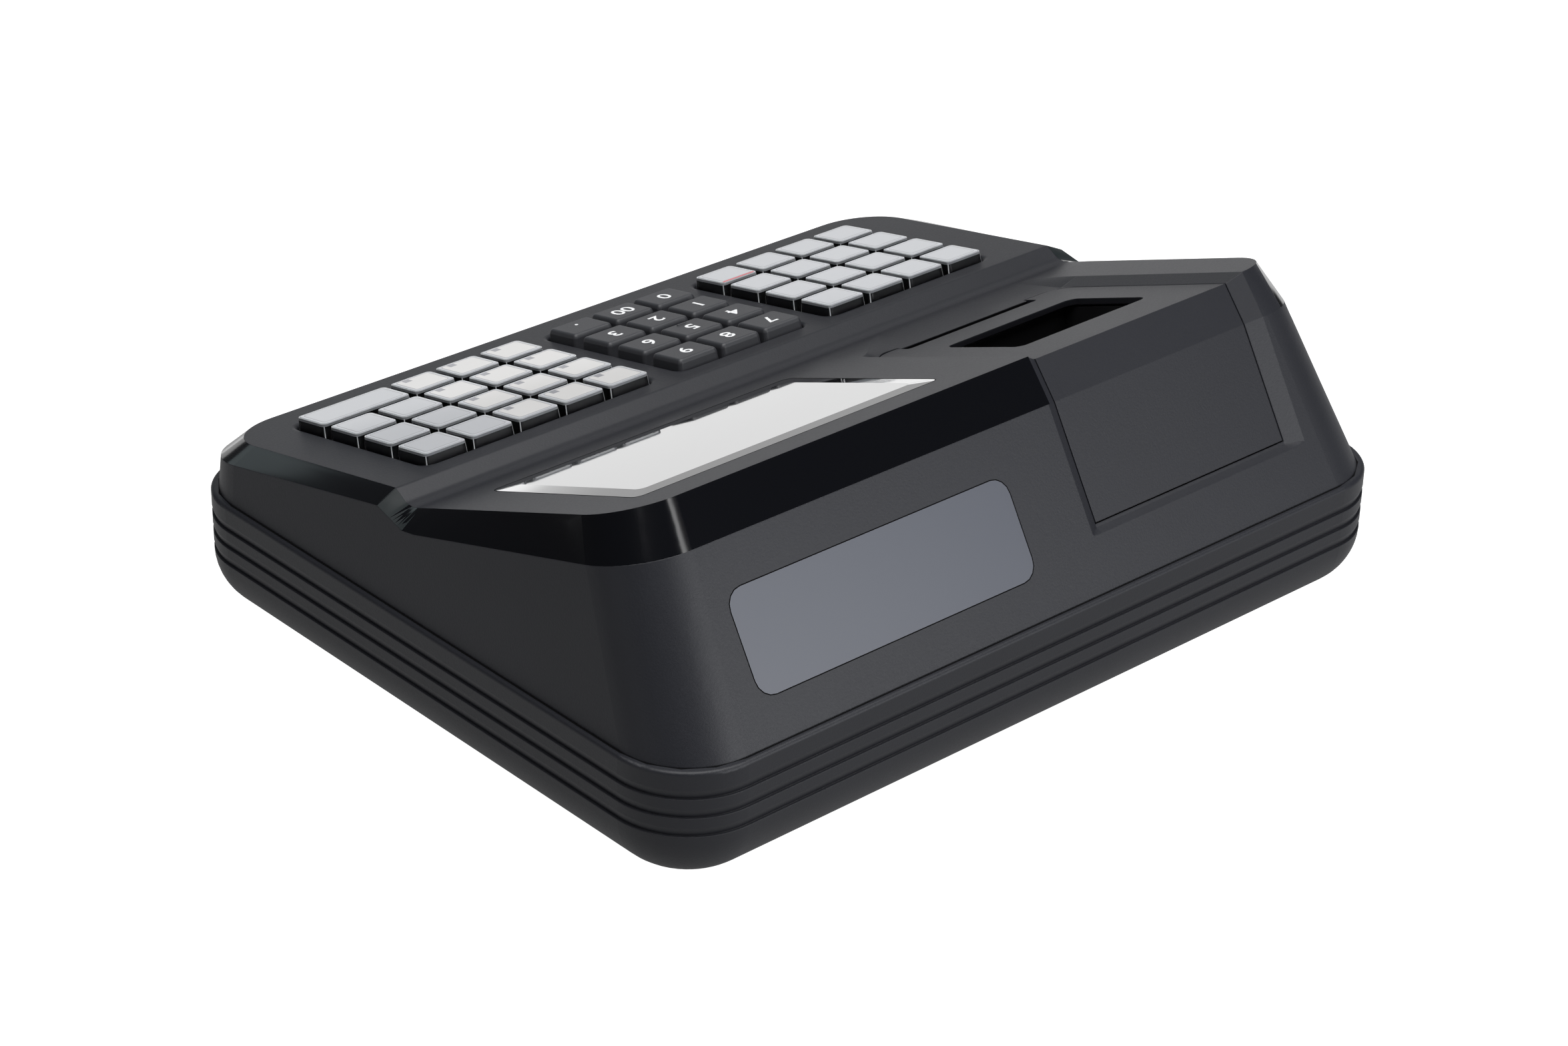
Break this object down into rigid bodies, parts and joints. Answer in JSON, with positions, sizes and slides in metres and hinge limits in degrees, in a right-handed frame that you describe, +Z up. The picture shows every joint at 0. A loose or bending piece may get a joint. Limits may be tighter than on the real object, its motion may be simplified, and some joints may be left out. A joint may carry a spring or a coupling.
{
  "type": "ticket register",
  "caption": "Portable ticket register with a sloping keyboard, an operator's and a customer's display window and a receipt printer under a hinged cover.",
  "frame": {"origin": "centre of the underside, on the surface it stands on", "axes": "+X to the operator's right, +Y to the customer's side, +Z up"},
  "size_m": [0.3202, 0.2558, 0.1102],
  "materials": {
    "case_plastic": "fine spark-eroded texture",
    "trim_plastic": "polished",
    "operator_lens": "polished smoked acrylic",
    "customer_lens": "grey tinted acrylic",
    "inner_plastic": "plain moulded",
    "board_laminate": "green lacquered laminate",
    "foot_rubber": "moulded",
    "screw_steel": "zinc plated",
    "roller_rubber": "ground",
    "number_key_plastic": "fine texture",
    "capped_key_plastic": "clear cap over a label"
  },
  "bodies": {
    "case": {"base_case": "case_plastic", "top_case": "case_plastic", "gloss_trim": "trim_plastic", "operator_window": "operator_lens", "customer_window": "customer_lens", "printer_mechanism": "inner_plastic", "circuit_boards": "board_laminate", "key_guide_plate": "inner_plastic", "key_contact_board": "board_laminate", "rubber_feet": "foot_rubber", "case_screws": "screw_steel"},
    "cover": {"printer_cover": "case_plastic"},
    "platen": {"platen_roller": "roller_rubber"},
    "key_item_1": {"key_item_1": "capped_key_plastic"},
    "key_item_2": {"key_item_2": "capped_key_plastic"},
    "key_item_3": {"key_item_3": "capped_key_plastic"},
    "key_item_4": {"key_item_4": "capped_key_plastic"},
    "key_item_5": {"key_item_5": "capped_key_plastic"},
    "key_item_6": {"key_item_6": "capped_key_plastic"},
    "key_item_7": {"key_item_7": "capped_key_plastic"},
    "key_item_8": {"key_item_8": "capped_key_plastic"},
    "key_item_9": {"key_item_9": "capped_key_plastic"},
    "key_item_10": {"key_item_10": "capped_key_plastic"},
    "key_item_11": {"key_item_11": "capped_key_plastic"},
    "key_item_12": {"key_item_12": "capped_key_plastic"},
    "key_side_1": {"key_side_1": "capped_key_plastic"},
    "key_side_2": {"key_side_2": "capped_key_plastic"},
    "key_side_3": {"key_side_3": "capped_key_plastic"},
    "key_side_4": {"key_side_4": "capped_key_plastic"},
    "key_side_5": {"key_side_5": "capped_key_plastic"},
    "key_side_6": {"key_side_6": "capped_key_plastic"},
    "key_total": {"key_total": "capped_key_plastic"},
    "key_7": {"key_7": "number_key_plastic"},
    "key_8": {"key_8": "number_key_plastic"},
    "key_9": {"key_9": "number_key_plastic"},
    "key_4": {"key_4": "number_key_plastic"},
    "key_5": {"key_5": "number_key_plastic"},
    "key_6": {"key_6": "number_key_plastic"},
    "key_1": {"key_1": "number_key_plastic"},
    "key_2": {"key_2": "number_key_plastic"},
    "key_3": {"key_3": "number_key_plastic"},
    "key_0": {"key_0": "number_key_plastic"},
    "key_double_zero": {"key_double_zero": "number_key_plastic"},
    "key_decimal": {"key_decimal": "number_key_plastic"},
    "key_function_1": {"key_function_1": "capped_key_plastic"},
    "key_function_2": {"key_function_2": "capped_key_plastic"},
    "key_function_3": {"key_function_3": "capped_key_plastic"},
    "key_function_4": {"key_function_4": "capped_key_plastic"},
    "key_function_5": {"key_function_5": "capped_key_plastic"},
    "key_function_6": {"key_function_6": "capped_key_plastic"},
    "key_function_7": {"key_function_7": "capped_key_plastic"},
    "key_function_8": {"key_function_8": "capped_key_plastic"},
    "key_function_9": {"key_function_9": "capped_key_plastic"},
    "key_function_10": {"key_function_10": "capped_key_plastic"},
    "key_function_11": {"key_function_11": "capped_key_plastic"},
    "key_function_12": {"key_function_12": "capped_key_plastic"},
    "key_function_13": {"key_function_13": "capped_key_plastic"},
    "key_function_14": {"key_function_14": "capped_key_plastic"},
    "key_function_15": {"key_function_15": "capped_key_plastic"},
    "key_function_16": {"key_function_16": "capped_key_plastic"}
  },
  "joints": [
    {"name": "cover_hinge", "type": "hinge", "parent": "case", "child": "cover", "pos_m": [-0.0716, 0.11005, 0.06195], "axis": [-1, 0, 0], "range_deg": [0, 90]},
    {"name": "platen_spin", "type": "hinge", "parent": "cover", "child": "platen", "pos_m": [-0.0708, 0.0175, 0.07504], "axis": [1, 0, 0], "continuous": true},
    {"name": "key_item_1_press", "type": "slide", "parent": "case", "child": "key_item_1", "axis": [0, 0.1973, -0.9803], "range_m": [0, 0.003], "stiffness_N_per_m": 150, "springref_m": -0.002},
    {"name": "key_item_2_press", "type": "slide", "parent": "case", "child": "key_item_2", "axis": [0, 0.1973, -0.9803], "range_m": [0, 0.003], "stiffness_N_per_m": 150, "springref_m": -0.002},
    {"name": "key_item_3_press", "type": "slide", "parent": "case", "child": "key_item_3", "axis": [0, 0.1973, -0.9803], "range_m": [0, 0.003], "stiffness_N_per_m": 150, "springref_m": -0.002},
    {"name": "key_item_4_press", "type": "slide", "parent": "case", "child": "key_item_4", "axis": [0, 0.1973, -0.9803], "range_m": [0, 0.003], "stiffness_N_per_m": 150, "springref_m": -0.002},
    {"name": "key_item_5_press", "type": "slide", "parent": "case", "child": "key_item_5", "axis": [0, 0.1973, -0.9803], "range_m": [0, 0.003], "stiffness_N_per_m": 150, "springref_m": -0.002},
    {"name": "key_item_6_press", "type": "slide", "parent": "case", "child": "key_item_6", "axis": [0, 0.1973, -0.9803], "range_m": [0, 0.003], "stiffness_N_per_m": 150, "springref_m": -0.002},
    {"name": "key_item_7_press", "type": "slide", "parent": "case", "child": "key_item_7", "axis": [0, 0.1973, -0.9803], "range_m": [0, 0.003], "stiffness_N_per_m": 150, "springref_m": -0.002},
    {"name": "key_item_8_press", "type": "slide", "parent": "case", "child": "key_item_8", "axis": [0, 0.1973, -0.9803], "range_m": [0, 0.003], "stiffness_N_per_m": 150, "springref_m": -0.002},
    {"name": "key_item_9_press", "type": "slide", "parent": "case", "child": "key_item_9", "axis": [0, 0.1973, -0.9803], "range_m": [0, 0.003], "stiffness_N_per_m": 150, "springref_m": -0.002},
    {"name": "key_item_10_press", "type": "slide", "parent": "case", "child": "key_item_10", "axis": [0, 0.1973, -0.9803], "range_m": [0, 0.003], "stiffness_N_per_m": 150, "springref_m": -0.002},
    {"name": "key_item_11_press", "type": "slide", "parent": "case", "child": "key_item_11", "axis": [0, 0.1973, -0.9803], "range_m": [0, 0.003], "stiffness_N_per_m": 150, "springref_m": -0.002},
    {"name": "key_item_12_press", "type": "slide", "parent": "case", "child": "key_item_12", "axis": [0, 0.1973, -0.9803], "range_m": [0, 0.003], "stiffness_N_per_m": 150, "springref_m": -0.002},
    {"name": "key_side_1_press", "type": "slide", "parent": "case", "child": "key_side_1", "axis": [0, 0.1973, -0.9803], "range_m": [0, 0.003], "stiffness_N_per_m": 150, "springref_m": -0.002},
    {"name": "key_side_2_press", "type": "slide", "parent": "case", "child": "key_side_2", "axis": [0, 0.1973, -0.9803], "range_m": [0, 0.003], "stiffness_N_per_m": 150, "springref_m": -0.002},
    {"name": "key_side_3_press", "type": "slide", "parent": "case", "child": "key_side_3", "axis": [0, 0.1973, -0.9803], "range_m": [0, 0.003], "stiffness_N_per_m": 150, "springref_m": -0.002},
    {"name": "key_side_4_press", "type": "slide", "parent": "case", "child": "key_side_4", "axis": [0, 0.1973, -0.9803], "range_m": [0, 0.003], "stiffness_N_per_m": 150, "springref_m": -0.002},
    {"name": "key_side_5_press", "type": "slide", "parent": "case", "child": "key_side_5", "axis": [0, 0.1973, -0.9803], "range_m": [0, 0.003], "stiffness_N_per_m": 150, "springref_m": -0.002},
    {"name": "key_side_6_press", "type": "slide", "parent": "case", "child": "key_side_6", "axis": [0, 0.1973, -0.9803], "range_m": [0, 0.003], "stiffness_N_per_m": 150, "springref_m": -0.002},
    {"name": "key_total_press", "type": "slide", "parent": "case", "child": "key_total", "axis": [0, 0.1973, -0.9803], "range_m": [0, 0.003], "stiffness_N_per_m": 150, "springref_m": -0.002},
    {"name": "key_7_press", "type": "slide", "parent": "case", "child": "key_7", "axis": [0, 0.1973, -0.9803], "range_m": [0, 0.003], "stiffness_N_per_m": 150, "springref_m": -0.002},
    {"name": "key_8_press", "type": "slide", "parent": "case", "child": "key_8", "axis": [0, 0.1973, -0.9803], "range_m": [0, 0.003], "stiffness_N_per_m": 150, "springref_m": -0.002},
    {"name": "key_9_press", "type": "slide", "parent": "case", "child": "key_9", "axis": [0, 0.1973, -0.9803], "range_m": [0, 0.003], "stiffness_N_per_m": 150, "springref_m": -0.002},
    {"name": "key_4_press", "type": "slide", "parent": "case", "child": "key_4", "axis": [0, 0.1973, -0.9803], "range_m": [0, 0.003], "stiffness_N_per_m": 150, "springref_m": -0.002},
    {"name": "key_5_press", "type": "slide", "parent": "case", "child": "key_5", "axis": [0, 0.1973, -0.9803], "range_m": [0, 0.003], "stiffness_N_per_m": 150, "springref_m": -0.002},
    {"name": "key_6_press", "type": "slide", "parent": "case", "child": "key_6", "axis": [0, 0.1973, -0.9803], "range_m": [0, 0.003], "stiffness_N_per_m": 150, "springref_m": -0.002},
    {"name": "key_1_press", "type": "slide", "parent": "case", "child": "key_1", "axis": [0, 0.1973, -0.9803], "range_m": [0, 0.003], "stiffness_N_per_m": 150, "springref_m": -0.002},
    {"name": "key_2_press", "type": "slide", "parent": "case", "child": "key_2", "axis": [0, 0.1973, -0.9803], "range_m": [0, 0.003], "stiffness_N_per_m": 150, "springref_m": -0.002},
    {"name": "key_3_press", "type": "slide", "parent": "case", "child": "key_3", "axis": [0, 0.1973, -0.9803], "range_m": [0, 0.003], "stiffness_N_per_m": 150, "springref_m": -0.002},
    {"name": "key_0_press", "type": "slide", "parent": "case", "child": "key_0", "axis": [0, 0.1973, -0.9803], "range_m": [0, 0.003], "stiffness_N_per_m": 150, "springref_m": -0.002},
    {"name": "key_double_zero_press", "type": "slide", "parent": "case", "child": "key_double_zero", "axis": [0, 0.1973, -0.9803], "range_m": [0, 0.003], "stiffness_N_per_m": 150, "springref_m": -0.002},
    {"name": "key_decimal_press", "type": "slide", "parent": "case", "child": "key_decimal", "axis": [0, 0.1973, -0.9803], "range_m": [0, 0.003], "stiffness_N_per_m": 150, "springref_m": -0.002},
    {"name": "key_function_1_press", "type": "slide", "parent": "case", "child": "key_function_1", "axis": [0, 0.1973, -0.9803], "range_m": [0, 0.003], "stiffness_N_per_m": 150, "springref_m": -0.002},
    {"name": "key_function_2_press", "type": "slide", "parent": "case", "child": "key_function_2", "axis": [0, 0.1973, -0.9803], "range_m": [0, 0.003], "stiffness_N_per_m": 150, "springref_m": -0.002},
    {"name": "key_function_3_press", "type": "slide", "parent": "case", "child": "key_function_3", "axis": [0, 0.1973, -0.9803], "range_m": [0, 0.003], "stiffness_N_per_m": 150, "springref_m": -0.002},
    {"name": "key_function_4_press", "type": "slide", "parent": "case", "child": "key_function_4", "axis": [0, 0.1973, -0.9803], "range_m": [0, 0.003], "stiffness_N_per_m": 150, "springref_m": -0.002},
    {"name": "key_function_5_press", "type": "slide", "parent": "case", "child": "key_function_5", "axis": [0, 0.1973, -0.9803], "range_m": [0, 0.003], "stiffness_N_per_m": 150, "springref_m": -0.002},
    {"name": "key_function_6_press", "type": "slide", "parent": "case", "child": "key_function_6", "axis": [0, 0.1973, -0.9803], "range_m": [0, 0.003], "stiffness_N_per_m": 150, "springref_m": -0.002},
    {"name": "key_function_7_press", "type": "slide", "parent": "case", "child": "key_function_7", "axis": [0, 0.1973, -0.9803], "range_m": [0, 0.003], "stiffness_N_per_m": 150, "springref_m": -0.002},
    {"name": "key_function_8_press", "type": "slide", "parent": "case", "child": "key_function_8", "axis": [0, 0.1973, -0.9803], "range_m": [0, 0.003], "stiffness_N_per_m": 150, "springref_m": -0.002},
    {"name": "key_function_9_press", "type": "slide", "parent": "case", "child": "key_function_9", "axis": [0, 0.1973, -0.9803], "range_m": [0, 0.003], "stiffness_N_per_m": 150, "springref_m": -0.002},
    {"name": "key_function_10_press", "type": "slide", "parent": "case", "child": "key_function_10", "axis": [0, 0.1973, -0.9803], "range_m": [0, 0.003], "stiffness_N_per_m": 150, "springref_m": -0.002},
    {"name": "key_function_11_press", "type": "slide", "parent": "case", "child": "key_function_11", "axis": [0, 0.1973, -0.9803], "range_m": [0, 0.003], "stiffness_N_per_m": 150, "springref_m": -0.002},
    {"name": "key_function_12_press", "type": "slide", "parent": "case", "child": "key_function_12", "axis": [0, 0.1973, -0.9803], "range_m": [0, 0.003], "stiffness_N_per_m": 150, "springref_m": -0.002},
    {"name": "key_function_13_press", "type": "slide", "parent": "case", "child": "key_function_13", "axis": [0, 0.1973, -0.9803], "range_m": [0, 0.003], "stiffness_N_per_m": 150, "springref_m": -0.002},
    {"name": "key_function_14_press", "type": "slide", "parent": "case", "child": "key_function_14", "axis": [0, 0.1973, -0.9803], "range_m": [0, 0.003], "stiffness_N_per_m": 150, "springref_m": -0.002},
    {"name": "key_function_15_press", "type": "slide", "parent": "case", "child": "key_function_15", "axis": [0, 0.1973, -0.9803], "range_m": [0, 0.003], "stiffness_N_per_m": 150, "springref_m": -0.002},
    {"name": "key_function_16_press", "type": "slide", "parent": "case", "child": "key_function_16", "axis": [0, 0.1973, -0.9803], "range_m": [0, 0.003], "stiffness_N_per_m": 150, "springref_m": -0.002}
  ]
}
